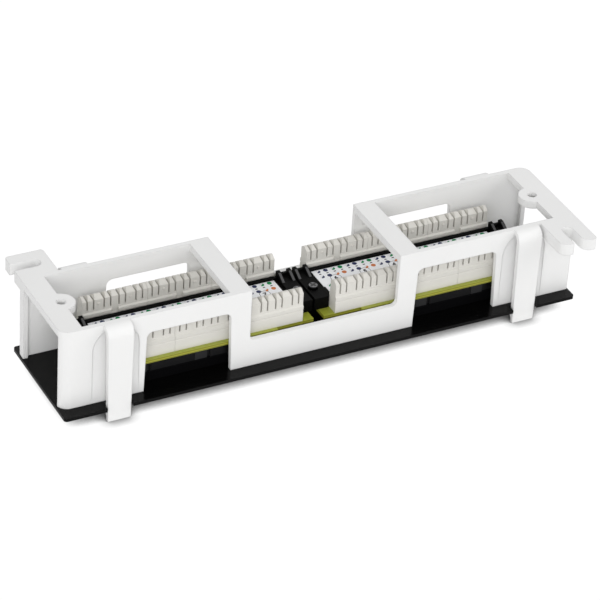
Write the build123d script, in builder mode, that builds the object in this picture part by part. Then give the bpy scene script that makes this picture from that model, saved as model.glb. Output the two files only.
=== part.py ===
from build123d import *
from math import atan2, degrees, radians, tan
import os

os.makedirs("parts", exist_ok=True)

# The panel lies face down on its four leg tips. X runs along the panel, +Y to the
# back, +Z up towards the wall side. The sizes below are drawn about the middle of the
# front plate, and the finished pieces move back a little, so that the origin is on the
# floor under the middle of the whole panel with its two ears.
clearance = 0.2
seat_gap = 0.1

# Front plate
plate_lip = 0.6
plate_width = 58.8
plate_thickness = 1.6
plate_corner = 1.5
foot_drop = 6.3

# Wall bracket
bracket_length = 252.8
bracket_width = 46.1
bracket_height = 40.1
wall = 2.3
corner_radius = 5.0
bar_thickness = 3.6
end_bar_width = 10.3
inner_bar_width = 9.8
centre_cut_length = 73.0
centre_rail_height = 13.6
cut_corner_radius = 2.5
post_return = 4.0
window_length = 40.0
window_height = 30.6
window_corner_radius = 3.0
draft_angle = 1.8
gusset_size = 7.0
gusset_thickness = 1.8

# Snap legs
leg_inset = 25.6
leg_width_top = 12.3
leg_width_tip = 10.8
leg_thickness = 2.3
leg_bend_radius = 5.05
leg_tip_thickness = 1.7
barb_reach = 1.6
barb_lip = 0.9
barb_rise = 3.6
notch_clearance = 0.6
pocket_width = 22.0
pocket_depth = 1.2
pocket_top = 2.3

# Wall ears and screw holes
ear_length = 18.0
ear_thickness = 5.8
left_ear_reach = 18.1
right_ear_reach = 20.0
ear_corner = 1.5
ear_lip_corner = 4.0
slot_width = 5.6
left_slot_offset = 9.25
right_slot_offset = 9.3
slot_inner_wall = 4.5
right_slot_start = 6.4
ear_notch_reach = 8.0
screw_hole_radius = 2.2
screw_sink_radius = 3.7
screw_hole_inset = 9.5
boss_radius = 6.3

# Two gangs of six ports
port_count = 6
port_pitch = 15.6
port_width = 11.8
port_height = 6.8
latch_width = 6.2
latch_height = 1.5
latch_key_width = 3.8
latch_key_height = 1.3
port_depth = 11.3
nose_width = 13.2
nose_height = 13.0
housing_height = 11.6
housing_inset = 2.0
housing_width = 33.0
flange_height = 5.6
flange_notch_width = 8.4
flange_notch_height = 1.1
flange_notch_depth = 2.4
clip_pitch = 28.8
clip_count = 2
clip_width = 21.2
clip_start = -16.9
notch_offset = 1.5
clip_depth = 0.7
lug_width = 5.8
lug_start = -32.0
wire_width = 0.45
wire_thickness = 0.3
wire_pitch = 1.02
wire_count = 8
wire_anchor_z = 8.4
wire_rise = 0.6
wire_tip_y = 1.4
wire_tip_z = 15.2

# Circuit boards
board_gap = 5.2
board_width = 39.2
board_thickness = 1.8
board_relief_length = 18.4
board_relief_depth = 1.7

# Insulation displacement blocks, three to a row and two rows to a board
block_pitch = 31.2
blocks_per_row = 3
block_gap = 0.1
block_depth = 6.4
row_spacing = 29.3
block_base_height = 6.2
groove_depth = 0.3
groove_height = 0.9
ledge_overhang = 0.1
ledge_height = 2.3
ledge_slope = 0.6
tooth_depth = 5.2
tooth_roof = 1.4
tooth_ridge = 0.5
block_height = 15.8
slot_bottom = 9.45
wire_slot_width = 0.7
funnel_width = 1.9
funnel_height = 1.4
slot_offsets = (2.0, 5.1, 10.15, 13.25)
channel_wall = 0.6
fork_width = 2.2
fork_thickness = 0.6
fork_slit = 0.8
fork_slit_depth = 4.5
fork_drop = 2.4

# Label carriers
carrier_height = 4.9
carrier_wall = 1.4
carrier_top = 1.5
label_width = 18.4
label_thickness = 0.3
label_length = 90.8
rim_height = 1.2
tab_length = 7.0
carrier_gap = 1.2
tab_width = 23.6
tab_shift = -0.5
tab_height = 6.0
prong_size = 1.8
prong_height = 8.6
prong_spacing = 5.2
prong_foot = 7.0
step_length = 4.6
step_width = 4.4
step_overlap = 1.7
step_y = -7.2
carrier_screw_y = -3.5
carrier_screw_x = 50.9
carrier_screw_boss = 2.6
carrier_screw_radius = 1.3
carrier_screw_head = 2.35
carrier_screw_head_height = 1.5
carrier_screw_chamfer = 0.5
carrier_screw_length = 14.5
pilot_depth = 7.5

# Heights and places that follow from the sizes above
plate_top = foot_drop + plate_thickness
bracket_top = plate_top + bracket_height
bar_bottom = bracket_top - bar_thickness
board_bottom = plate_top + housing_height
board_top = board_bottom + board_thickness
half_length = bracket_length / 2
half_width = bracket_width / 2
leg_outer = half_width + leg_bend_radius
leg_inner = leg_outer - leg_thickness
leg_x = half_length - leg_inset
plate_length = bracket_length + 2 * plate_lip
block_length = block_pitch - block_gap
row_length = block_pitch * blocks_per_row
row_y = row_spacing / 2
carrier_width = 2 * (row_y - block_depth / 2 - ledge_overhang - clearance)
label_seat = board_top + carrier_height
rail_half = row_length / 2 + 2 * clearance
tab_x = rail_half + tab_length / 2
module_x = rail_half + tab_length + carrier_gap / 2
board_length = 2 * module_x - board_gap
housing_length = board_length - 2 * housing_inset
module_places = {"left": -module_x, "right": module_x}
port_places = [(index - (port_count - 1) / 2) * port_pitch for index in range(port_count)]
relief_x = board_length / 2 - board_relief_length
relief_y = board_width / 2 - board_relief_depth
centre_shift = (right_ear_reach - left_ear_reach) / 2
leg_width_at_plate = leg_width_tip + (leg_width_top - leg_width_tip) * plate_top / bracket_top


def save(builder, label):
    """Move a finished piece to the panel's origin, label it and write its STEP file."""
    builder.part.position += (0, centre_shift, 0)
    builder.part.label = label
    export_step(builder.part, f"parts/{label}.step")


# One snap leg, modelled at the middle of the front wall
with BuildPart() as leg:
    with BuildSketch(Plane.YZ):
        with BuildLine():
            bend_centre = (-half_width, bracket_top - leg_bend_radius)
            barb_top = foot_drop - seat_gap
            Line((wall - half_width, bracket_top), (-half_width, bracket_top))
            CenterArc(bend_centre, leg_bend_radius, 90, 90)
            Polyline(
                (-leg_outer, bracket_top - leg_bend_radius),
                (-leg_outer, 0),
                (leg_tip_thickness - leg_outer, 0),
                (leg_tip_thickness - leg_outer, barb_top - barb_lip - barb_rise),
                (barb_reach - leg_inner, barb_top - barb_lip),
                (barb_reach - leg_inner, barb_top),
                (-leg_inner, barb_top),
                (-leg_inner, bracket_top - leg_bend_radius),
            )
            CenterArc(bend_centre, leg_bend_radius - leg_thickness, 180, -90)
            Polyline(
                (-half_width, bracket_top - leg_thickness),
                (wall - half_width, bracket_top - leg_thickness),
                (wall - half_width, bracket_top),
            )
        make_face()
    extrude(amount=leg_width_top / 2, both=True)
    with BuildSketch(Plane.XZ):
        with BuildLine():
            tip, top = leg_width_tip / 2, leg_width_top / 2
            Polyline((-tip, 0), (tip, 0), (top, bracket_top), (-top, bracket_top), close=True)
        make_face()
    extrude(amount=bracket_width, both=True, mode=Mode.INTERSECT)


def pocket_outline(arch_centre, foot):
    """The arched outline of a leg pocket, with its middle on the Y axis."""
    with BuildSketch() as arch:
        with BuildLine():
            radius = pocket_width / 2
            Polyline((-radius, arch_centre), (-radius, foot), (radius, foot), (radius, arch_centre))
            CenterArc((0, arch_centre), radius, 0, 180)
        make_face()
    return arch.sketch


with BuildPart() as wall_bracket:
    # A block, square at the ear corners and round at the other two
    with BuildSketch(Plane.XY.offset(plate_top)) as outline:
        Rectangle(bracket_length, bracket_width)
        round_corners = outline.vertices().filter_by(lambda vertex: vertex.X * vertex.Y > 0)
        fillet(round_corners, radius=corner_radius)
    extrude(amount=bracket_height)
    # The ears join before the hollow is cut, so that the wall stays even
    ear_plane = Plane.XY.offset(bracket_top - ear_thickness)
    with BuildSketch(ear_plane) as left_ear:
        with Locations((-half_length, half_width - wall)):
            Rectangle(ear_length, left_ear_reach + wall, align=(Align.MIN, Align.MIN))
        fillet(left_ear.vertices().group_by(Axis.Y)[-1], radius=ear_corner)
        with Locations((-half_length, half_width + left_slot_offset)):
            slot_reach = ear_length - slot_inner_wall
            SlotOverall(2 * slot_reach, slot_width, mode=Mode.SUBTRACT)
    extrude(amount=ear_thickness)
    with BuildSketch(ear_plane) as right_ear:
        with Locations((half_length, wall - half_width)):
            Rectangle(ear_length, right_ear_reach + wall, align=(Align.MAX, Align.MAX))
        with Locations((half_length - right_slot_offset, -half_width - right_ear_reach)):
            slot_reach = right_ear_reach - right_slot_start
            SlotOverall(2 * slot_reach, slot_width, rotation=90, mode=Mode.SUBTRACT)
        # Both fingers beside the slot are rounder on their left
        tip_corners = right_ear.vertices().group_by(Axis.Y)[0].sort_by(Axis.X)
        fillet((tip_corners[0], tip_corners[2]), radius=ear_lip_corner)
        fillet(right_ear.vertices().group_by(Axis.Y)[0].sort_by(Axis.X)[-1], radius=ear_corner)
    extrude(amount=ear_thickness)
    # The hollow: open ends below the end bars, and three openings in the top
    with BuildSketch(Plane.XY.offset(plate_top)):
        Rectangle(bracket_length - 2 * wall, bracket_width - 2 * wall)
        Rectangle(bracket_length, bracket_width - 2 * post_return)
    extrude(amount=bracket_height - bar_thickness, mode=Mode.SUBTRACT)
    with BuildSketch(Plane.XY.offset(bar_bottom)):
        inner_bar_end = centre_cut_length / 2 + inner_bar_width
        side_opening = half_length - end_bar_width - inner_bar_end
        for side in (-1, 1):
            with Locations((side * (inner_bar_end + side_opening / 2), 0)):
                Rectangle(side_opening, bracket_width - 2 * wall)
        Rectangle(centre_cut_length, bracket_width - 2 * wall)
        with Locations((screw_hole_inset - half_length, 0), (half_length - screw_hole_inset, 0)):
            Circle(boss_radius, mode=Mode.SUBTRACT)
    extrude(amount=bar_thickness, mode=Mode.SUBTRACT)
    # Gussets under the inner bars, against both walls
    for bar_side in (-1, 1):
        bar_x = bar_side * (centre_cut_length + inner_bar_width) / 2
        for wall_side in (-1, 1):
            with BuildSketch(Plane.YZ.offset(bar_x)):
                with BuildLine():
                    root = wall_side * (half_width - wall)
                    Polyline(
                        (root, bar_bottom),
                        (root - wall_side * gusset_size, bar_bottom),
                        (root, bar_bottom - gusset_size),
                        close=True,
                    )
                make_face()
            extrude(amount=gusset_thickness / 2, both=True)
    # The middle of both walls is a low rail
    with BuildSketch(Plane.XZ) as centre_cut:
        with Locations((0, plate_top + centre_rail_height)):
            Rectangle(centre_cut_length, bracket_height, align=(Align.CENTER, Align.MIN))
        fillet(centre_cut.vertices().group_by(Axis.Y)[0], radius=cut_corner_radius)
    extrude(amount=bracket_width, both=True, mode=Mode.SUBTRACT)
    # Wall windows, open at the foot and a little wider there
    window_x = inner_bar_end + window_length / 2
    window_foot = window_length + 2 * window_height * tan(radians(draft_angle))
    with BuildSketch(Plane.XZ) as windows:
        with Locations((-window_x, plate_top), (window_x, plate_top)):
            Trapezoid(window_foot, window_height, 90 - draft_angle, align=(Align.CENTER, Align.MIN))
        fillet(windows.vertices().group_by(Axis.Y)[-1], radius=window_corner_radius)
    extrude(amount=bracket_width, both=True, mode=Mode.SUBTRACT)
    # Leg pockets: the wall leans in from its foot to an arch, so that each leg has room to bend
    pocket_arch = bracket_height - pocket_top - pocket_width / 2
    pocket_tilt = degrees(atan2(pocket_depth, bracket_height - pocket_top))
    for turn in (0, 180):
        wall_foot = Plane((0, 0, plate_top)).rotated((0, 0, turn)) * Location((0, -half_width, 0))
        leaning = Plane(wall_foot * Location((0, 0, 0), (90 - pocket_tilt, 0, 0)))
        upright = Plane(wall_foot * Location((0, 0, 0), (90, 0, 0)))
        for x in (-leg_x, leg_x):
            with BuildSketch(leaning) as pocket:
                with Locations((x, 0)):
                    add(pocket_outline(pocket_arch, 0))
            extrude(amount=2 * pocket_depth, mode=Mode.SUBTRACT)
            with BuildSketch(upright) as ear_notch:
                with Locations((x, 0)):
                    add(pocket_outline(pocket_arch, 0))
            extrude(amount=ear_notch_reach, mode=Mode.SUBTRACT)
    # Legs
    with Locations((-leg_x, 0, 0), (leg_x, 0, 0)):
        add(leg.part)
    with Locations(Location((-leg_x, 0, 0), (0, 0, 180)), Location((leg_x, 0, 0), (0, 0, 180))):
        add(leg.part)
    # Screw holes through the bosses, countersunk on the panel's inner side
    with Locations(
        Location((screw_hole_inset - half_length, 0, bar_bottom), (180, 0, 0)),
        Location((half_length - screw_hole_inset, 0, bar_bottom), (180, 0, 0)),
    ):
        CounterSinkHole(screw_hole_radius, screw_sink_radius, depth=bar_thickness)

save(wall_bracket, "wall_bracket")

# Front plate, with a notch for each leg and an aperture for each port
with BuildPart() as front_plate:
    with BuildSketch(Plane.XY.offset(foot_drop)) as plate:
        Rectangle(plate_length, plate_width)
        fillet(plate.vertices(), radius=plate_corner)
        notch_length = leg_width_at_plate + 2 * notch_clearance
        notch_depth = plate_width / 2 - leg_inner + clearance
        with GridLocations(2 * leg_x, plate_width, 2, 2):
            Rectangle(notch_length, 2 * notch_depth, mode=Mode.SUBTRACT)
        for x in module_places.values():
            with Locations((x, 0)):
                with GridLocations(port_pitch, plate_width, port_count, 1):
                    Rectangle(
                        nose_width + 2 * clearance, nose_height + 2 * clearance, mode=Mode.SUBTRACT
                    )
    extrude(amount=plate_thickness)

save(front_plate, "front_plate")

# Jack housing of one module: six noses, a narrow body and a wider flange under the board
key_low = -(port_height + latch_height + latch_key_height) / 2
latch_low = key_low + latch_key_height
opening_low = latch_low + latch_height
with BuildPart() as housing:
    with BuildSketch(Plane.XY.offset(foot_drop)):
        with GridLocations(port_pitch, plate_width, port_count, 1):
            Rectangle(nose_width, nose_height)
    extrude(amount=plate_thickness)
    with BuildSketch(Plane.XY.offset(plate_top)):
        Rectangle(housing_length, housing_width)
        with Locations((-carrier_screw_x, carrier_screw_y), (carrier_screw_x, carrier_screw_y)):
            Circle(carrier_screw_boss)
    extrude(amount=housing_height)
    flange_bottom = board_bottom - flange_height
    with BuildSketch(Plane.XY.offset(flange_bottom)):
        Rectangle(housing_length, 2 * relief_y)
    extrude(amount=flange_height)
    # Clip faces with a notch at their upper edge, and lugs between them
    for turn in (0, 180):
        side = Plane.XY.rotated((0, 0, turn))
        with BuildSketch(side.offset(flange_bottom)):
            for index in range(clip_count):
                with Locations((clip_start + index * clip_pitch, -relief_y)):
                    Rectangle(clip_width, 2 * clip_depth)
            for index in range(clip_count + 1):
                with Locations((lug_start + index * clip_pitch, -relief_y)):
                    Rectangle(lug_width, 2 * clip_depth)
        extrude(amount=flange_height)
        with BuildSketch(side.offset(board_bottom - flange_notch_height)):
            for index in range(clip_count):
                notch_x = clip_start - notch_offset + index * clip_pitch
                with Locations((notch_x, -relief_y - clip_depth)):
                    Rectangle(flange_notch_width, 2 * flange_notch_depth)
        extrude(amount=flange_notch_height, mode=Mode.SUBTRACT)
    # Port cavities, keyed for the latch of a plug
    with BuildSketch(Plane.XY.offset(foot_drop)):
        with GridLocations(port_pitch, plate_width, port_count, 1):
            with Locations((0, opening_low)):
                Rectangle(port_width, port_height, align=(Align.CENTER, Align.MIN))
            with Locations((0, latch_low)):
                Rectangle(latch_width, latch_height, align=(Align.CENTER, Align.MIN))
            with Locations((0, key_low)):
                Rectangle(latch_key_width, latch_key_height, align=(Align.CENTER, Align.MIN))
    extrude(amount=port_depth, mode=Mode.SUBTRACT)
    # Pilot holes for the label carrier's screws
    with Locations(
        (-carrier_screw_x, carrier_screw_y, board_bottom),
        (carrier_screw_x, carrier_screw_y, board_bottom),
    ):
        Hole(carrier_screw_radius, depth=pilot_depth)


def save_at(builder, label, x, turn=0):
    """Save a copy of a module's piece, moved to x and turned about Z."""
    with BuildPart() as copy:
        with Locations(Location((x, 0, 0), (0, 0, turn))):
            add(builder.part)
    save(copy, label)


# Port contacts: eight sprung wires in each port, anchored in the wall across from the latch
with BuildPart() as contacts:
    wire_root = opening_low + port_height
    wire_places = [(index - (wire_count - 1) / 2) * wire_pitch for index in range(wire_count)]
    for port_x in port_places:
        for wire_x in wire_places:
            with BuildSketch(Plane.YZ.offset(port_x + wire_x - wire_width / 2)):
                with BuildLine():
                    Polyline(
                        (wire_root, wire_anchor_z),
                        (wire_root, wire_anchor_z + wire_rise),
                        (wire_tip_y, wire_tip_z),
                        (wire_tip_y - wire_thickness, wire_tip_z),
                        close=True,
                    )
                make_face()
            extrude(amount=wire_width)

# Circuit board of one module, relieved beside the leg pockets
with BuildPart() as board:
    with BuildSketch(Plane.XY.offset(board_bottom)):
        Rectangle(2 * relief_x, board_width)
        Rectangle(board_length, 2 * relief_y)
        with Locations((-carrier_screw_x, carrier_screw_y), (carrier_screw_x, carrier_screw_y)):
            Circle(carrier_screw_radius + clearance, mode=Mode.SUBTRACT)
    extrude(amount=board_thickness)

# One punch-down block, modelled on the board with its ends along X
with BuildPart() as block:
    with BuildSketch(Plane.YZ):
        with BuildLine():
            half = block_depth / 2
            ledge = half + ledge_overhang
            ledge_top = block_base_height + ledge_height
            tooth = tooth_depth / 2
            right_side = Polyline(
                (0, 0),
                (half, 0),
                (half, block_base_height - groove_height),
                (half - groove_depth, block_base_height - groove_height / 2),
                (half - groove_depth, block_base_height),
                (ledge, block_base_height),
                (ledge, ledge_top - ledge_slope),
                (tooth, ledge_top),
                (tooth, block_height - tooth_roof),
                (tooth_ridge, block_height),
                (0, block_height),
            )
            mirror(right_side, about=Plane.YZ)
        make_face()
    extrude(amount=block_length / 2, both=True)
    # Slots, each with a funnel
    with BuildSketch(Plane.XZ) as slots:
        slot_places = [side * place for place in slot_offsets for side in (-1, 1)]
        for place in slot_places:
            with BuildLine():
                slot, funnel = wire_slot_width / 2, funnel_width / 2
                funnel_bottom = block_height - funnel_height
                Polyline(
                    (place - slot, slot_bottom),
                    (place + slot, slot_bottom),
                    (place + slot, funnel_bottom),
                    (place + funnel, block_height),
                    (place - funnel, block_height),
                    (place - slot, funnel_bottom),
                    close=True,
                )
            make_face()
    extrude(amount=block_depth, both=True, mode=Mode.SUBTRACT)
    # The notch through the ledge of the inner face, below the middle tooth
    with BuildSketch(Plane.XY.offset(block_base_height)):
        with Locations((0, ledge)):
            Rectangle(2 * slot_offsets[0] - wire_slot_width, 2 * (ledge - tooth))
    extrude(amount=ledge_height, mode=Mode.SUBTRACT)
    # Channel for the contact forks, open to the board
    with BuildSketch(Plane.XY):
        Rectangle(block_length - 2 * channel_wall, fork_thickness + 2 * seat_gap)
    extrude(amount=block_height - fork_drop, mode=Mode.SUBTRACT)

# One contact fork, standing on the board
with BuildPart() as fork:
    fork_height = block_height - fork_drop - seat_gap
    with BuildSketch(Plane.XZ):
        with BuildLine():
            side, mouth = fork_width / 2, fork_slit / 2
            Polyline(
                (-side, 0),
                (side, 0),
                (side, fork_height),
                (mouth, fork_height),
                (0, fork_height - fork_slit_depth),
                (-mouth, fork_height),
                (-side, fork_height),
                close=True,
            )
        make_face()
    extrude(amount=fork_thickness / 2, both=True)

# Label carrier: a rail between the two block rows, with an end piece at each end
with BuildPart() as carrier:
    with BuildSketch(Plane.YZ):
        with Locations((0, board_top)):
            Rectangle(carrier_width, carrier_height + rim_height, align=(Align.CENTER, Align.MIN))
            hollow_height = carrier_height - carrier_top
            Rectangle(
                carrier_width - 2 * carrier_wall,
                2 * hollow_height,
                mode=Mode.SUBTRACT,
            )
        with Locations((0, label_seat)):
            Rectangle(
                label_width + 2 * seat_gap,
                2 * rim_height,
                align=(Align.CENTER, Align.MIN),
                mode=Mode.SUBTRACT,
            )
    extrude(amount=rail_half, both=True)
    for side in (-1, 1):
        # End tab on the board
        with BuildSketch(Plane.XY.offset(board_top)):
            with Locations((side * tab_x, tab_shift)):
                Rectangle(tab_length, tab_width)
        extrude(amount=tab_height)
        # Step beside the tab, over the rail's corner
        with BuildSketch(Plane.XY.offset(label_seat)):
            with Locations((side * (rail_half + step_length / 2 - step_overlap), step_y)):
                Rectangle(step_length, step_width)
        extrude(amount=tab_height - carrier_height)
        # Two ribbed prongs at the back with a low bar between them
        for prong_x in (side * tab_x - prong_spacing / 2, side * tab_x + prong_spacing / 2):
            with BuildSketch(Plane.YZ.offset(prong_x - prong_size / 2)):
                with BuildLine():
                    prong_back = tab_shift + tab_width / 2
                    Polyline(
                        (prong_back, board_top),
                        (prong_back, board_top + prong_height),
                        (prong_back - prong_size, board_top + prong_height),
                        (prong_back - prong_foot, board_top + tab_height),
                        (prong_back - prong_foot, board_top),
                        close=True,
                    )
                make_face()
            extrude(amount=prong_size)
        with BuildSketch(Plane.XY.offset(board_top)):
            with Locations((side * tab_x, prong_back - carrier_wall / 2)):
                Rectangle(prong_spacing, carrier_wall)
        extrude(amount=(tab_height + prong_height) / 2)
    with Locations(
        (-carrier_screw_x, carrier_screw_y, board_top + tab_height),
        (carrier_screw_x, carrier_screw_y, board_top + tab_height),
    ):
        Hole(carrier_screw_radius + clearance, depth=tab_height)

# Wiring label, lying in the rail
with BuildPart() as label:
    with BuildSketch(Plane.XY.offset(label_seat)):
        Rectangle(label_length, label_width)
    extrude(amount=label_thickness)

# One carrier screw with a pan head
with BuildPart() as screw:
    head_seat = board_top + tab_height
    with BuildSketch(Plane.XY.offset(head_seat)):
        Circle(carrier_screw_head)
    extrude(amount=carrier_screw_head_height)
    chamfer(screw.edges().group_by(Axis.Z)[-1], length=carrier_screw_chamfer)
    with BuildSketch(Plane.XY.offset(head_seat)):
        Circle(carrier_screw_radius)
    extrude(amount=carrier_screw_head_height - carrier_screw_length)

# Every module carries the same pieces
for module, module_centre in module_places.items():
    save_at(housing, f"jack_housing_{module}", module_centre)
    save_at(contacts, f"port_contacts_{module}", module_centre)
    save_at(board, f"circuit_board_{module}", module_centre)
    save_at(carrier, f"label_carrier_{module}", module_centre)
    save_at(label, f"wiring_label_{module}", module_centre)
    for end, end_side in (("left", -1), ("right", 1)):
        screw_x = module_centre + end_side * carrier_screw_x
        with BuildPart() as carrier_screw_copy:
            with Locations((screw_x, carrier_screw_y)):
                add(screw.part)
        save(carrier_screw_copy, f"carrier_screw_{module}_{end}")
    for row, row_side, turn in (("front", -1, 0), ("back", 1, 180)):
        block_places = [
            Location((module_centre + offset * block_pitch, row_side * row_y, board_top), (0, 0, turn))
            for offset in range(-(blocks_per_row // 2), blocks_per_row // 2 + 1)
        ]
        for number, place in enumerate(block_places, start=1):
            with BuildPart() as placed_block:
                with Locations(place):
                    add(block.part)
            save(placed_block, f"idc_block_{module}_{row}_{number}")
        with BuildPart() as fork_row:
            for place in block_places:
                with Locations(place):
                    with Locations([(slot_place, 0) for slot_place in slot_places]):
                        add(fork.part)
        save(fork_row, f"idc_contacts_{module}_{row}")
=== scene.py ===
"""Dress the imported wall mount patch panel, light it and set the camera."""

from math import pi, radians

import bpy
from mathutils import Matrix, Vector


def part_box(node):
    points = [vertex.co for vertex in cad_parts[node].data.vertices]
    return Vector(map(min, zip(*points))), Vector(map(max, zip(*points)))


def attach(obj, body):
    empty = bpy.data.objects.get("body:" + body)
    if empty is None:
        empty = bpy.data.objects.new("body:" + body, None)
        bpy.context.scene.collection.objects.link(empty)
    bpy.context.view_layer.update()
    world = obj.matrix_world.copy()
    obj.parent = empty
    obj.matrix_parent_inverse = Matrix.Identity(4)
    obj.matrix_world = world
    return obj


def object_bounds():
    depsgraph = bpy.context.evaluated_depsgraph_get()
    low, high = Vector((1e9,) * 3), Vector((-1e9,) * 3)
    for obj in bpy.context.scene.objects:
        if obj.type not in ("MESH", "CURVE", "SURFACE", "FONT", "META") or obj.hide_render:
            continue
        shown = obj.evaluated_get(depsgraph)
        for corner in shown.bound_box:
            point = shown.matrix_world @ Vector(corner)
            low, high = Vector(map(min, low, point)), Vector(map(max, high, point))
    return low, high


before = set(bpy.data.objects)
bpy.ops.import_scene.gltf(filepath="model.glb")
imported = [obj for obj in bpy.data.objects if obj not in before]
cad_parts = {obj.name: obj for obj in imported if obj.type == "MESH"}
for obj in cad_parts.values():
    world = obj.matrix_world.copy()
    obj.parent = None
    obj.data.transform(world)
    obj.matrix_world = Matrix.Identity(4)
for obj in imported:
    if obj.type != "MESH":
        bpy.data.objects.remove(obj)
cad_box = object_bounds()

bl_info = {
    "name": "Wall Mount Patch Panel",
    "version": (1, 0, 0),
    "blender": (4, 5, 0),
    "location": "View3D > Sidebar > Patch Panel",
    "description": "Finishes, printed wiring charts and a studio for a wall mount patch panel",
    "category": "Object",
}

MODULES = ("left", "right")
MM = 0.001
# Plastics: size of the clouds in colour and sheen, spread of the roughness, and the grain
CLOUD_SIZE = 22 * MM
SHEEN_SIZE = 6 * MM
SHEEN_SPREAD = 0.12
GRAIN_SIZE = 0.25 * MM
GRAIN_DEPTH = 0.004 * MM
# Radii that the edges of the mouldings are softened by
BRACKET_EDGE = 0.6 * MM
BLOCK_EDGE = 0.3 * MM
FINE_EDGE = 0.2 * MM
# Printing inks of the wiring charts
INKS = {
    "white": (0.86, 0.86, 0.88),
    "navy": (0.009, 0.018, 0.085),
    "green": (0.0, 0.24, 0.075),
    "orange": (0.62, 0.18, 0.05),
    "brown": (0.16, 0.065, 0.03),
    "black": (0.02, 0.02, 0.025),
}
# The four rows of one chart, back to front: each has two inks, as a half dot and a full dot
CHART_ROWS = (("navy", "green"), ("navy", "orange"), ("green", "brown"), ("orange", "brown"))
COLUMNS_PER_PORT = 4
# Strokes between the dots: length as a share of a dot's radius, and width as a share of the length
TICK_LENGTH = 0.95
TICK_SLIMNESS = 0.6
# The ring round a port number, its line and the number's place and boldness, as shares of a digit's height
RING_RADIUS = 0.85
RING_LINE = 0.06
DIGIT_SHIFT = 0.2
DIGIT_BOLDNESS = 0.055
# The clip faces along a jack housing, under the board, and the lugs between them
CLIP_HEIGHT = 4.9 * MM
LUG_WIDTH = 5.8 * MM
LUG_STARTS = (-34.9 * MM, -6.1 * MM, 22.7 * MM)
LUG_TINT = (0.018, 0.018, 0.019, 1)
# A circuit board: its mask on top and below, and the band of painted shade along the foot of its long edges
MASK_ABOVE = 0.12 * MM
MASK_BELOW = 0.02 * MM
EDGE_SHADE = 0.8 * MM
# The cross recess of a carrier screw, laid as a flat dark cross of painted shade: its span, its turn, how far
# it stands over the head's face, and its tint
RECESS_SPAN = 3.3 * MM
RECESS_TURN = radians(28)
RECESS_LIFT = 0.02 * MM
RECESS_SHADE_TINT = (0.012, 0.012, 0.013)
# The plain steel middle of a screw head; outside it the rim is darkened as painted shade
BRIGHT_RADIUS = 1.95 * MM
# The pips on the inner faces of the teeth: size, softened rim, and place from a block's foot and middle
PIP_RADIUS = 0.75 * MM
PIP_RISE = 0.40 * MM
PIP_ROUND = 0.8 * PIP_RISE
PIP_HEIGHT = 12.2 * MM
PIP_OFFSET = 7.6 * MM
TOOTH_RECESS = 0.7 * MM
# The prongs of a label carrier, as in the source, and the ribs on their slopes
TAB_LENGTH = 7.0 * MM
PRONG_SPACING = 5.2 * MM
PRONG_SIZE = 1.8 * MM
PRONG_FOOT = 7.0 * MM
PRONG_DROP = 2.6 * MM
RIB_WIDTH = 1.2 * MM
RIB_RISE = 0.4 * MM
RIB_ROUND = 0.25 * RIB_RISE
RIB_TINT = (0.055, 0.055, 0.057, 1)
# The floor: its side in metres, its two tints as the lamps see it, and its glow as the camera sees it
FLOOR_SIZE = 8
FLOOR_TINTS = ((0.80, 0.80, 0.80, 1), (0.82, 0.82, 0.82, 1))
FLOOR_GLOW = 1.03
# The shade on the floor: its tint, its reach under the plate and beside the feet, and how it clears
SHADE_TINT = (0.10, 0.10, 0.10, 1)
SHADE_REACH = 40 * MM
CONTACT_REACH = 6 * MM
SHADE_FLOOR = 0.08
SHADE_SLOPE = 3.6
# Places and sizes of the lamps, in metres
KEY_PLACE = Vector((-1.10, -1.62, 0.88))
KEY_SIZE = 1.4
FILL_PLACE = Vector((1.50, -0.60, 0.95))
FILL_SIZE = 1.3


def colour(name, description, default):
    """A colour that a user can change."""
    return bpy.props.FloatVectorProperty(
        name=name, description=description, default=default, size=4, min=0, max=1, subtype="COLOR"
    )


class PanelFinishes(bpy.types.PropertyGroup):
    """Colours of the panel's own materials."""

    bracket: colour("Bracket", "White plastic of the wall bracket", (0.83, 0.83, 0.825, 1))
    plate: colour("Plate", "Black lacquer of the front plate", (0.002, 0.002, 0.002, 1))
    housing: colour("Housing", "Black plastic of the jacks", (0.003, 0.003, 0.0035, 1))
    carrier: colour("Carrier", "Black plastic of the label carriers", (0.002, 0.002, 0.002, 1))
    block: colour("Block", "Warm grey plastic of the punch-down blocks", (0.68, 0.665, 0.62, 1))
    board: colour("Board", "Yellow-green mask on the circuit boards", (0.33, 0.36, 0.04, 1))
    board_core: colour("Board core", "Bare laminate in the boards' edges", (0.40, 0.40, 0.035, 1))
    label: colour("Label", "Film of the wiring charts", (0.92, 0.93, 0.95, 1))
    # The black rims of the screw heads are painted shade, not the steel's own colour.
    screw: colour("Screw", "Steel of the carrier screws inside their black rims", (0.20, 0.20, 0.205, 1))
    gold: colour("Gold", "Plating of the port contacts", (0.86, 0.60, 0.22, 1))
    # The forks' tin is darkened as painted shade for the inside of the blocks' slots.
    tin: colour("Tin", "Plating of the contact forks", (0.20, 0.20, 0.20, 1))


class PanelPrint(bpy.types.PropertyGroup):
    """Sizes of the printed wiring charts."""

    columns: bpy.props.IntProperty(name="Columns", description="Dots along one chart", default=24)
    pitch: bpy.props.FloatProperty(
        name="Pitch", description="Spacing of the dots", default=3.7 * MM, unit="LENGTH"
    )
    dot: bpy.props.FloatProperty(
        name="Dot", description="Radius of a colour dot", default=1.12 * MM, unit="LENGTH"
    )
    outer_row: bpy.props.FloatProperty(
        name="Outer row", description="Outer dots from the chart's middle", default=7.9 * MM, unit="LENGTH"
    )
    inner_row: bpy.props.FloatProperty(
        name="Inner row", description="Inner dots from the chart's middle", default=3.5 * MM, unit="LENGTH"
    )
    ink: bpy.props.FloatProperty(
        name="Ink", description="Height of the print on the film", default=0.03 * MM, unit="LENGTH"
    )
    digit: bpy.props.FloatProperty(
        name="Digit", description="Height of a port number", default=3.1 * MM, unit="LENGTH"
    )


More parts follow.
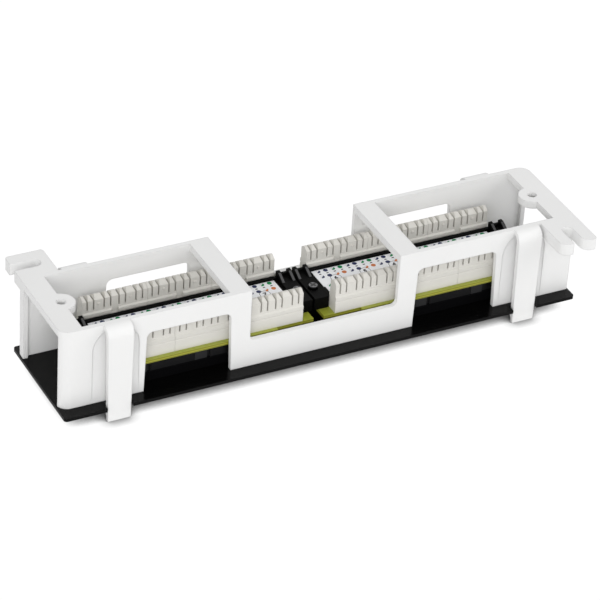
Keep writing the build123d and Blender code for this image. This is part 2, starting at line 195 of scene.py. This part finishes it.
class PanelStudio(bpy.types.PropertyGroup):
    """Camera and lights."""

    camera_place: bpy.props.FloatVectorProperty(
        name="Camera", description="Place of the camera", default=(-0.56961, -1.04742, 0.82440), unit="LENGTH"
    )
    camera_turn: bpy.props.FloatVectorProperty(
        name="Camera turn",
        description="Rotation of the camera",
        default=(radians(55.9314), radians(-3.0592), radians(-26.4352)),
        subtype="EULER",
    )
    lens: bpy.props.FloatProperty(
        name="Lens", description="Focal length on a sensor 36 mm wide", default=192.264
    )
    world: bpy.props.FloatProperty(
        name="World", description="Strength of the even light all round", default=0.66
    )
    key: bpy.props.FloatProperty(
        name="Key", description="Power of the lamp above the camera's left", default=19.5, unit="POWER"
    )
    fill: bpy.props.FloatProperty(
        name="Fill", description="Power of the lamp at the right", default=10.5, unit="POWER"
    )


class Link:
    """A node's socket that takes part in Python arithmetic."""

    def __init__(self, finish, socket):
        self.finish = finish
        self.socket = socket

    def math(self, operation, *values):
        return self.finish.node("Math", {"operation": operation}, *values)

    def __add__(self, other):
        return self.math("ADD", self, other)

    def __radd__(self, other):
        return self.math("ADD", other, self)

    def __sub__(self, other):
        return self.math("SUBTRACT", self, other)

    def __rsub__(self, other):
        return self.math("SUBTRACT", other, self)

    def __mul__(self, other):
        return self.math("MULTIPLY", self, other)

    def __rmul__(self, other):
        return self.math("MULTIPLY", other, self)

    def __gt__(self, other):
        return self.math("GREATER_THAN", self, other)


class Finish:
    """The nodes that make one material or the world."""

    def __init__(self, owner):
        self.owner = owner
        self.owner.use_nodes = True
        self.tree = owner.node_tree
        self.tree.nodes.clear()
        self.place = self.node("TexCoord", output="Object")

    def node(self, kind, settings=None, *values, output=0, **named):
        """Add a node, set it up, then fill its sockets in order or by name."""
        made = self.tree.nodes.new("ShaderNode" + kind)
        for key, value in (settings or {}).items():
            setattr(made, key, value)
        sockets = list(zip(made.inputs, values))
        for key, value in named.items():
            sockets.append((made.inputs[int(key) if key.isdigit() else key.replace("_", " ")], value))
        for socket, value in sockets:
            if isinstance(value, Link):
                self.tree.links.new(value.socket, socket)
            else:
                socket.default_value = value
        return Link(self, made.outputs[output])

    def axis(self, index):
        """The place along X, Y or Z, in metres."""
        return self.node("SeparateXYZ", None, self.place, output=index)

    def noise(self, size, detail=3.0):
        """Noise whose spots have about the given size in metres."""
        return self.node("TexNoise", None, Vector=self.place, Scale=1 / size, Detail=detail)

    def mix(self, factor, first, second):
        """Blend two colours."""
        settings = {"data_type": "RGBA"}
        return self.node("Mix", settings, output=2, **{"0": factor, "6": first, "7": second})

    def relief(self, height, depth, edge=0.0):
        """A bumped normal, over edges that are softened by a small radius."""
        values = {"Height": height, "Distance": depth}
        if edge:
            values["Normal"] = self.node("Bevel", {"samples": 4}, Radius=edge)
        return self.node("Bump", None, **values)

    def plastic(self, colour, roughness, gloss, edge):
        """A moulded plastic: slow changes of sheen and fine spark-eroded grain over soft edges."""
        return self.node(
            "BsdfPrincipled",
            None,
            Base_Color=colour,
            Roughness=self.noise(SHEEN_SIZE) * SHEEN_SPREAD + (roughness - SHEEN_SPREAD / 2),
            Specular_IOR_Level=gloss,
            Normal=self.relief(self.noise(GRAIN_SIZE, detail=2.0), GRAIN_DEPTH, edge),
        )

    def surface(self, **sockets):
        """Join a Principled shader to the output and return the material."""
        return self.close("OutputMaterial", self.node("BsdfPrincipled", None, **sockets))

    def close(self, kind, shader):
        """Join a shader to an output node and return the material or the world."""
        made = self.tree.nodes.new("ShaderNode" + kind)
        self.tree.links.new(shader.socket, made.inputs["Surface"])
        return self.owner


def darker(colour, share):
    """The same colour with its three channels scaled."""
    return (colour[0] * share, colour[1] * share, colour[2] * share, 1)


def moulded(name, colour, roughness, edge, gloss=0.5):
    """Moulded plastic of a faintly cloudy colour."""
    finish = Finish(bpy.data.materials.new(name))
    tint = finish.mix(finish.noise(CLOUD_SIZE), darker(colour, 0.96), tuple(colour))
    return finish.close("OutputMaterial", finish.plastic(tint, roughness, gloss, edge))


def clipped(name, colour, middle, foot):
    """Jack plastic: satin clip faces with paler lugs, and a dull body below them."""
    finish = Finish(bpy.data.materials.new(name))
    along = finish.axis(0) - middle
    lugs = 0
    for start in LUG_STARTS:
        lugs = (along > start) * (1 - (along > start + LUG_WIDTH)) + lugs
    faces = finish.mix(lugs, tuple(colour), LUG_TINT)
    clip = finish.plastic(faces, roughness=0.44, gloss=0.20, edge=FINE_EDGE)
    cloud = finish.mix(finish.noise(CLOUD_SIZE), darker(colour, 0.5), tuple(colour))
    body = finish.plastic(cloud, roughness=0.56, gloss=0.04, edge=FINE_EDGE)
    return finish.close("OutputMaterial", finish.node("MixShader", None, finish.axis(2) > foot, body, clip))


def lacquered(name, colour):
    """Smooth black lacquer with a slow orange-peel wave."""
    finish = Finish(bpy.data.materials.new(name))
    return finish.surface(
        Base_Color=finish.mix(finish.noise(30 * MM), darker(colour, 0.8), tuple(colour)),
        Roughness=finish.noise(9 * MM) * 0.08 + 0.16,
        Specular_IOR_Level=0.12,
        Normal=finish.relief(finish.noise(1.6 * MM, detail=1.0), depth=0.003 * MM, edge=0.15 * MM),
    )


def laminated(name, mask, core, bottom, top, reach):
    """Circuit board: glossy mask on top, layered cloth in the edges and painted shade along the foot of the
    long ones.
    """
    finish = Finish(bpy.data.materials.new(name))
    height = finish.axis(2)
    inside = (height > bottom + MASK_BELOW) * (1 - (height > top - MASK_ABOVE))
    # Painted shade: below this height the outermost long edges are darkened to near black.
    foot = bottom + EDGE_SHADE
    outer = finish.node("Math", {"operation": "ABSOLUTE"}, finish.axis(1)) > reach
    layers = finish.node("Math", {"operation": "COSINE"}, (height - foot) * (2 * pi / (top - foot)))
    weave_and_shade = finish.mix(layers * 0.5 + 0.5, darker(core, 0.42), tuple(core))
    weave_and_shade = finish.mix(outer * (1 - (height > foot)), weave_and_shade, darker(core, 0.01))
    tracks = finish.node(
        "TexWave", {"wave_profile": "SAW"}, Vector=finish.place, Scale=1 / (9 * MM), Distortion=1.5
    )
    face = finish.mix(tracks, darker(mask, 0.90), tuple(mask))
    return finish.surface(
        Base_Color=finish.mix(inside, face, weave_and_shade),
        Roughness=inside * 0.3 + 0.28,
        Normal=finish.relief(finish.noise(0.4 * MM), depth=0.006 * MM),
    )


def plated(name, colour, roughness):
    """Thin bright plating with faint drawing lines along the metal."""
    finish = Finish(bpy.data.materials.new(name))
    stretched = finish.node("Mapping", None, Vector=finish.place, Scale=(8, 8, 1))
    lines = finish.node("TexNoise", None, Vector=stretched, Scale=1 / (2 * MM), Detail=2.0)
    return finish.surface(
        Base_Color=finish.mix(lines, darker(colour, 0.85), tuple(colour)),
        Roughness=lines * 0.15 + roughness,
        Metallic=1.0,
        Normal=finish.relief(lines, depth=0.002 * MM),
    )


def worn_head(name, colour, centre):
    """Screw head of plain steel in the middle, with painted shade darkening its rim to near black."""
    finish = Finish(bpy.data.materials.new(name))
    across = finish.axis(0) - centre.x
    along = finish.axis(1) - centre.y
    # Painted shade: outside the middle the head is darkened to near black.
    rim = across * across + along * along > BRIGHT_RADIUS * BRIGHT_RADIUS
    grain = finish.noise(0.8 * MM)
    return finish.surface(
        Base_Color=finish.mix(rim, tuple(colour), darker(colour, 0.04)),
        Roughness=grain * 0.15 + 0.28,
        Metallic=1.0,
        Normal=finish.relief(grain, depth=0.01 * MM),
    )


def filmed(name, colour):
    """Satin printed film with a faint fibre mottle."""
    finish = Finish(bpy.data.materials.new(name))
    return finish.surface(
        Base_Color=finish.mix(finish.noise(1.2 * MM), darker(colour, 0.95), tuple(colour)),
        Roughness=finish.noise(4 * MM) * 0.1 + 0.42,
        Normal=finish.relief(finish.noise(0.5 * MM), depth=0.003 * MM),
    )


def inked(name, colour):
    """One printing ink, a little uneven."""
    finish = Finish(bpy.data.materials.new(name))
    return finish.surface(
        Base_Color=finish.mix(finish.noise(0.6 * MM), darker(colour, 0.88), (*colour, 1)),
        Roughness=finish.noise(2 * MM) * 0.1 + 0.4,
    )


def coat(names, material):
    """Give CAD nodes one material."""
    for name in names:
        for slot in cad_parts[name].material_slots:
            slot.material = material


def each_node(start):
    """Names of the CAD nodes that start with these words."""
    return [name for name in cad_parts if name.startswith(start)]


def start_piece(add, **placing):
    """Deselect everything, add a primitive and return its object."""
    bpy.ops.object.select_all(action="DESELECT")
    add(**placing)
    return bpy.context.object


def pick_faces(piece, picked):
    """Enter edit mode with only these faces of the piece selected."""
    bpy.ops.object.mode_set(mode="EDIT")
    bpy.ops.mesh.select_mode(type="FACE")
    bpy.ops.mesh.select_all(action="DESELECT")
    bpy.ops.object.mode_set(mode="OBJECT")
    piece.data.polygons.foreach_set("select", picked)
    bpy.ops.object.mode_set(mode="EDIT")


def raise_faces(height):
    """In edit mode, turn the selected flat faces into a plate of the given height."""
    bpy.ops.mesh.extrude_region_move(TRANSFORM_OT_translate={"value": (0, 0, height)})
    bpy.ops.mesh.select_all(action="SELECT")
    bpy.ops.mesh.normals_make_consistent(inside=False)


def copies(pattern, places):
    """Copy a modelled shape to each place, each copy with its own mesh."""
    made = []
    for place in places:
        copy = pattern.copy()
        copy.data = pattern.data.copy()
        copy.location = place
        bpy.context.collection.objects.link(copy)
        made.append(copy)
    return made


def join(parts, name, material):
    """Join shapes to one piece whose object sits at the origin, and seat it on the panel."""
    bpy.ops.object.select_all(action="DESELECT")
    for part in parts:
        part.select_set(True)
    bpy.context.view_layer.objects.active = parts[0]
    if len(parts) > 1:
        bpy.ops.object.join()
    bpy.ops.object.transform_apply(location=True, rotation=True, scale=True)
    piece = bpy.context.object
    piece.name = name
    piece.data.materials.clear()
    piece.data.materials.append(material)
    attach(piece, "root")
    return piece


class PANEL_OT_finish_mouldings(bpy.types.Operator):
    """Give the moulded pieces their plastics"""

    bl_idname = "patch_panel.finish_mouldings"
    bl_label = "Finish mouldings"

    def execute(self, context):
        colours = context.scene.panel_finishes
        bracket = moulded("bracket_plastic", colours.bracket, roughness=0.42, edge=BRACKET_EDGE, gloss=0.4)
        coat(["wall_bracket"], bracket)
        for module in MODULES:
            low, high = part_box(f"jack_housing_{module}")
            middle = (low.x + high.x) / 2
            plastic = clipped(f"housing_{module}", colours.housing, middle, high.z - CLIP_HEIGHT)
            coat([f"jack_housing_{module}"], plastic)
        carrier = moulded("carrier_plastic", colours.carrier, roughness=0.50, edge=FINE_EDGE, gloss=0.06)
        coat(each_node("label_carrier"), carrier)
        block = moulded("block_plastic", colours.block, roughness=0.40, edge=BLOCK_EDGE)
        coat(each_node("idc_block"), block)
        return {"FINISHED"}


class PANEL_OT_finish_metals(bpy.types.Operator):
    """Lacquer the plate and plate the contacts and the screws"""

    bl_idname = "patch_panel.finish_metals"
    bl_label = "Finish metals"

    def execute(self, context):
        colours = context.scene.panel_finishes
        coat(["front_plate"], lacquered("plate_lacquer", colours.plate))
        for name in each_node("carrier_screw"):
            low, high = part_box(name)
            coat([name], worn_head(f"steel_{name}", colours.screw, (low + high) / 2))
        coat(each_node("port_contacts"), plated("contact_gold", colours.gold, roughness=0.18))
        # The dark tin is painted shade for the slots that the forks sit in.
        coat(each_node("idc_contacts"), plated("contact_tin", colours.tin, roughness=0.30))
        return {"FINISHED"}


class PANEL_OT_finish_boards(bpy.types.Operator):
    """Give the circuit boards their mask and the charts their film"""

    bl_idname = "patch_panel.finish_boards"
    bl_label = "Finish boards and film"

    def execute(self, context):
        colours = context.scene.panel_finishes
        low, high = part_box("circuit_board_left")
        # The painted shade along the boards' foot covers only the outermost long edges.
        reach = high.y - EDGE_SHADE
        laminate = laminated("board_laminate", colours.board, colours.board_core, low.z, high.z, reach)
        coat(each_node("circuit_board"), laminate)
        coat(each_node("wiring_label"), filmed("label_film", colours.label))
        return {"FINISHED"}


class PANEL_OT_print_charts(bpy.types.Operator):
    """Print the colour dots, ticks and port numbers on both wiring charts"""

    bl_idname = "patch_panel.print_charts"
    bl_label = "Print wiring charts"

    def execute(self, context):
        sizes = context.scene.panel_print
        inks = {name: inked(f"ink_{name}", colour) for name, colour in INKS.items()}
        dot = self.dot(sizes)
        halves = {side: self.half(dot, side) for side in (-1, 1)}
        tick = self.tick(sizes)
        ring = self.ring(sizes)
        for number, module in enumerate(MODULES):
            low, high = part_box(f"wiring_label_{module}")
            middle = Vector(((low.x + high.x) / 2, (low.y + high.y) / 2, high.z))
            prints = {name: [] for name in INKS}
            columns = [(column - (sizes.columns - 1) / 2) * sizes.pitch for column in range(sizes.columns)]
            rows = (sizes.outer_row, sizes.inner_row, -sizes.inner_row, -sizes.outer_row)
            for y, pair in zip(rows, CHART_ROWS):
                for column, x in enumerate(columns):
                    place = [middle + Vector((x, y, 0))]
                    ink = pair[column // 2 % 2]
                    if column % 2:
                        prints[ink] += copies(dot, place)
                    else:
                        prints[ink] += copies(halves[1], place)
                        prints["white"] += copies(halves[-1], place)
            tick_y = (sizes.outer_row + sizes.inner_row) / 2
            ticks = [middle + Vector((x, y, 0)) for x in columns for y in (-tick_y, tick_y)]
            prints["black"] += copies(tick, ticks)
            ports = sizes.columns // COLUMNS_PER_PORT
            for port in range(ports):
                x = (port - (ports - 1) / 2) * COLUMNS_PER_PORT * sizes.pitch
                place = middle + Vector((x, sizes.digit * DIGIT_SHIFT, 0))
                prints["black"] += copies(ring, [place])
                prints["black"].append(self.digits(sizes, (len(MODULES) - number) * ports - port, place))
            for name, parts in prints.items():
                join(parts, f"chart_{module}_{name}", inks[name])
        for pattern in (dot, tick, ring, *halves.values()):
            bpy.data.objects.remove(pattern)
        return {"FINISHED"}

    def dot(self, sizes):
        """A full dot: a thin round plate."""
        made = start_piece(
            bpy.ops.mesh.primitive_circle_add, vertices=18, radius=sizes.dot, fill_type="NGON"
        )
        bpy.ops.object.mode_set(mode="EDIT")
        raise_faces(sizes.ink)
        bpy.ops.object.mode_set(mode="OBJECT")
        return made

    def half(self, dot, side):
        """One half of a dot, cut across the chart's diagonal."""
        made = copies(dot, [Vector()])[0]
        bpy.ops.object.select_all(action="DESELECT")
        made.select_set(True)
        bpy.context.view_layer.objects.active = made
        bpy.ops.object.mode_set(mode="EDIT")
        bpy.ops.mesh.select_all(action="SELECT")
        bpy.ops.mesh.bisect(
            plane_co=(0, 0, 0),
            plane_no=(-side, side, 0),
            use_fill=True,
            clear_outer=True,
        )
        bpy.ops.mesh.select_all(action="SELECT")
        bpy.ops.mesh.normals_make_consistent(inside=False)
        bpy.ops.object.mode_set(mode="OBJECT")
        return made

    def tick(self, sizes):
        """A short stroke between two dots."""
        made = start_piece(bpy.ops.mesh.primitive_plane_add, size=sizes.dot * TICK_LENGTH)
        bpy.ops.object.mode_set(mode="EDIT")
        bpy.ops.transform.resize(value=(1, TICK_SLIMNESS, 1))
        raise_faces(sizes.ink)
        bpy.ops.object.mode_set(mode="OBJECT")
        return made

    def ring(self, sizes):
        """The thin ring round a port number."""
        radius = sizes.digit * RING_RADIUS
        made = start_piece(
            bpy.ops.mesh.primitive_circle_add, vertices=24, radius=radius, fill_type="NGON"
        )
        bpy.ops.object.mode_set(mode="EDIT")
        bpy.ops.mesh.inset(thickness=sizes.digit * RING_LINE)
        bpy.ops.mesh.delete(type="FACE")
        bpy.ops.mesh.select_all(action="SELECT")
        raise_faces(sizes.ink)
        bpy.ops.object.mode_set(mode="OBJECT")
        return made

    def digits(self, sizes, number, place):
        """One port number, as a mesh."""
        made = start_piece(bpy.ops.object.text_add, location=place)
        made.data.body = str(number)
        made.data.size = sizes.digit
        made.data.align_x = "CENTER"
        made.data.align_y = "CENTER"
        made.data.extrude = sizes.ink / 2
        made.data.offset = sizes.digit * DIGIT_BOLDNESS
        made.data.resolution_u = 4
        bpy.ops.object.convert(target="MESH")
        return bpy.context.object


class PANEL_OT_mould_pips(bpy.types.Operator):
    """Mould the small round pips on the wide teeth of the punch-down blocks"""

    bl_idname = "patch_panel.mould_pips"
    bl_label = "Block pips"

    def execute(self, context):
        pip = start_piece(
            bpy.ops.mesh.primitive_cylinder_add, vertices=14, radius=PIP_RADIUS, depth=2 * PIP_RISE
        )
        pick_faces(pip, [abs(face.normal.z) > 0.5 for face in pip.data.polygons])
        bpy.ops.mesh.bevel(offset=PIP_ROUND, segments=2)
        bpy.ops.mesh.select_all(action="SELECT")
        bpy.ops.transform.rotate(value=pi / 2, orient_axis="X", center_override=(0, 0, 0))
        bpy.ops.object.mode_set(mode="OBJECT")
        material = moulded("pip_plastic", context.scene.panel_finishes.block, roughness=0.36, edge=0)
        for module in MODULES:
            for row, side in (("front", 1), ("back", -1)):
                places = []
                for name in each_node(f"idc_block_{module}_{row}"):
                    low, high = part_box(name)
                    middle = (low.x + high.x) / 2
                    face = (high.y if side > 0 else low.y) - side * TOOTH_RECESS
                    for offset in (-PIP_OFFSET, PIP_OFFSET):
                        places.append((middle + offset, face, low.z + PIP_HEIGHT))
                join(copies(pip, places), f"pips_{module}_{row}", material)
        bpy.data.objects.remove(pip)
        return {"FINISHED"}


class PANEL_OT_rib_prongs(bpy.types.Operator):
    """Lay the grip ribs on the sloping faces of the carriers' prongs"""

    bl_idname = "patch_panel.rib_prongs"
    bl_label = "Prong ribs"

    def execute(self, context):
        slope = Vector((0, PRONG_FOOT - PRONG_SIZE, PRONG_DROP))
        rib = start_piece(bpy.ops.mesh.primitive_plane_add, size=1)
        bpy.ops.object.mode_set(mode="EDIT")
        bpy.ops.transform.resize(value=(RIB_WIDTH, slope.length - RIB_RISE, 1))
        raise_faces(RIB_RISE)
        bpy.ops.mesh.bevel(offset=RIB_ROUND, segments=1)
        bpy.ops.mesh.select_all(action="SELECT")
        turn = Vector((0, 1, 0)).angle(slope)
        bpy.ops.transform.rotate(value=-turn, orient_axis="X", center_override=(0, 0, 0))
        bpy.ops.object.mode_set(mode="OBJECT")
        material = moulded("rib_plastic", RIB_TINT, roughness=0.55, edge=0)
        for module in MODULES:
            low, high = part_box(f"label_carrier_{module}")
            y = high.y - (PRONG_FOOT + PRONG_SIZE) / 2
            z = high.z - PRONG_DROP / 2 - RIB_RISE / 2
            tabs = (low.x + TAB_LENGTH / 2, high.x - TAB_LENGTH / 2)
            places = [(tab + side * PRONG_SPACING / 2, y, z) for tab in tabs for side in (-1, 1)]
            join(copies(rib, places), f"prong_ribs_{module}", material)
        bpy.data.objects.remove(rib)
        return {"FINISHED"}


class PANEL_OT_cut_recesses(bpy.types.Operator):
    """Lay a flat dark cross of painted shade on the head of each carrier screw, standing for its cross recess
    """

    bl_idname = "patch_panel.cut_recesses"
    bl_label = "Screw recesses"

    def execute(self, context):
        # Painted shade: a near-black cross stands for the shade inside the recess.
        material = inked("recess_shade", RECESS_SHADE_TINT)
        for name in each_node("carrier_screw"):
            low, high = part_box(name)
            place = Vector(((low.x + high.x) / 2, (low.y + high.y) / 2, high.z - RECESS_LIFT))
            cross = start_piece(
                bpy.ops.mesh.primitive_grid_add,
                x_subdivisions=3,
                y_subdivisions=3,
                size=RECESS_SPAN,
                location=place,
                rotation=(0, 0, RECESS_TURN),
            )
            arm = RECESS_SPAN / 6
            centres = [face.center for face in cross.data.polygons]
            pick_faces(cross, [abs(centre.x) > arm and abs(centre.y) > arm for centre in centres])
            bpy.ops.mesh.delete(type="FACE")
            bpy.ops.mesh.select_all(action="SELECT")
            raise_faces(2 * RECESS_LIFT)
            bpy.ops.object.mode_set(mode="OBJECT")
            join([cross], f"recess_{name}", material)
        return {"FINISHED"}


class PANEL_OT_set_stage(bpy.types.Operator):
    """Lay the floor, light the panel and place the camera"""

    bl_idname = "patch_panel.set_stage"
    bl_label = "Stage, lights and camera"

    def execute(self, context):
        studio = context.scene.panel_studio
        self.floor()
        self.world(context, studio)
        middle = (cad_box[0] + cad_box[1]) / 2
        self.lamp("key", KEY_PLACE, middle, studio.key, KEY_SIZE)
        self.lamp("fill", FILL_PLACE, middle, studio.fill, FILL_SIZE)
        bpy.ops.object.camera_add(location=studio.camera_place, rotation=studio.camera_turn)
        camera = context.object
        camera.data.lens = studio.lens
        camera.data.sensor_width = 36
        camera.data.clip_end = 20
        context.scene.camera = camera
        context.scene.view_settings.view_transform = "Standard"
        return {"FINISHED"}

    def floor(self):
        """A wide white floor that keeps the panel's soft shadow and darkens close under it."""
        ground = start_piece(bpy.ops.mesh.primitive_plane_add, size=FLOOR_SIZE)
        ground.name = "studio_floor"
        finish = Finish(bpy.data.materials.new("studio_floor"))
        camera_ray = finish.node("LightPath", output="Is Camera Ray")
        tint = finish.mix(finish.noise(300 * MM), *FLOOR_TINTS)
        plain = finish.node("BsdfDiffuse", None, Color=tint)
        faint = finish.node("BsdfDiffuse", None, Color=SHADE_TINT)
        glow = finish.node("Emission", None, Color=(1, 1, 1, 1), Strength=FLOOR_GLOW)
        near = finish.node("AmbientOcclusion", {"samples": 16}, output="AO", Distance=CONTACT_REACH)
        wide = finish.node("AmbientOcclusion", {"samples": 16}, output="AO", Distance=SHADE_REACH)
        settings = {"operation": "MULTIPLY", "use_clamp": True}
        clear = finish.node("Math", settings, wide - SHADE_FLOOR, SHADE_SLOPE)
        lit = finish.node("MixShader", None, clear * near * near, faint, glow)
        ground.data.materials.append(
            finish.close("OutputMaterial", finish.node("MixShader", None, camera_ray, plain, lit))
        )

    def world(self, context, studio):
        """Even light all round, and plain white where it is seen or mirrored."""
        context.scene.world = bpy.data.worlds.new("studio_world")
        finish = Finish(context.scene.world)
        seen = finish.node("LightPath", output="Is Camera Ray")
        mirrored = finish.node("LightPath", output="Is Glossy Ray")
        passed = finish.node("LightPath", output="Is Transmission Ray")
        shown = finish.node("Math", {"operation": "MAXIMUM", "use_clamp": True}, seen + mirrored, passed)
        light = finish.node("Background", None, (1, 1, 1, 1), studio.world)
        white = finish.node("Background", None, (1, 1, 1, 1), 1.0)
        finish.close("OutputWorld", finish.node("MixShader", None, shown, light, white))

    def lamp(self, name, place, target, power, size):
        """A square soft lamp that faces the panel."""
        turn = (target - place).to_track_quat("-Z", "Y").to_euler()
        bpy.ops.object.light_add(type="AREA", location=place, rotation=turn)
        lamp = bpy.context.object
        lamp.name = name
        lamp.data.energy = power
        lamp.data.size = size


OPERATORS = (
    PANEL_OT_finish_mouldings,
    PANEL_OT_finish_metals,
    PANEL_OT_finish_boards,
    PANEL_OT_print_charts,
    PANEL_OT_mould_pips,
    PANEL_OT_rib_prongs,
    PANEL_OT_cut_recesses,
    PANEL_OT_set_stage,
)
GROUPS = {"panel_finishes": PanelFinishes, "panel_print": PanelPrint, "panel_studio": PanelStudio}


class PANEL_PT_patch_panel(bpy.types.Panel):
    """Buttons and settings of the patch panel"""

    bl_idname = "PANEL_PT_patch_panel"
    bl_label = "Patch Panel"
    bl_space_type = "VIEW_3D"
    bl_region_type = "UI"
    bl_category = "Patch Panel"

    def draw(self, context):
        for operator in OPERATORS:
            self.layout.operator(operator.bl_idname)
        for name in GROUPS:
            group = getattr(context.scene, name)
            box = self.layout.box()
            for key in group.bl_rna.properties.keys():
                if key not in ("rna_type", "name"):
                    box.prop(group, key)


def register():
    for name, group in GROUPS.items():
        bpy.utils.register_class(group)
        setattr(bpy.types.Scene, name, bpy.props.PointerProperty(type=group))
    for made in (*OPERATORS, PANEL_PT_patch_panel):
        bpy.utils.register_class(made)


def unregister():
    for made in (PANEL_PT_patch_panel, *reversed(OPERATORS)):
        bpy.utils.unregister_class(made)
    for name, group in GROUPS.items():
        delattr(bpy.types.Scene, name)
        bpy.utils.unregister_class(group)


def main():
    """Dress the panel."""
    register()
    for operator in OPERATORS:
        group, action = operator.bl_idname.split(".")
        getattr(getattr(bpy.ops, group), action)()


if __name__ == "__main__":
    main()
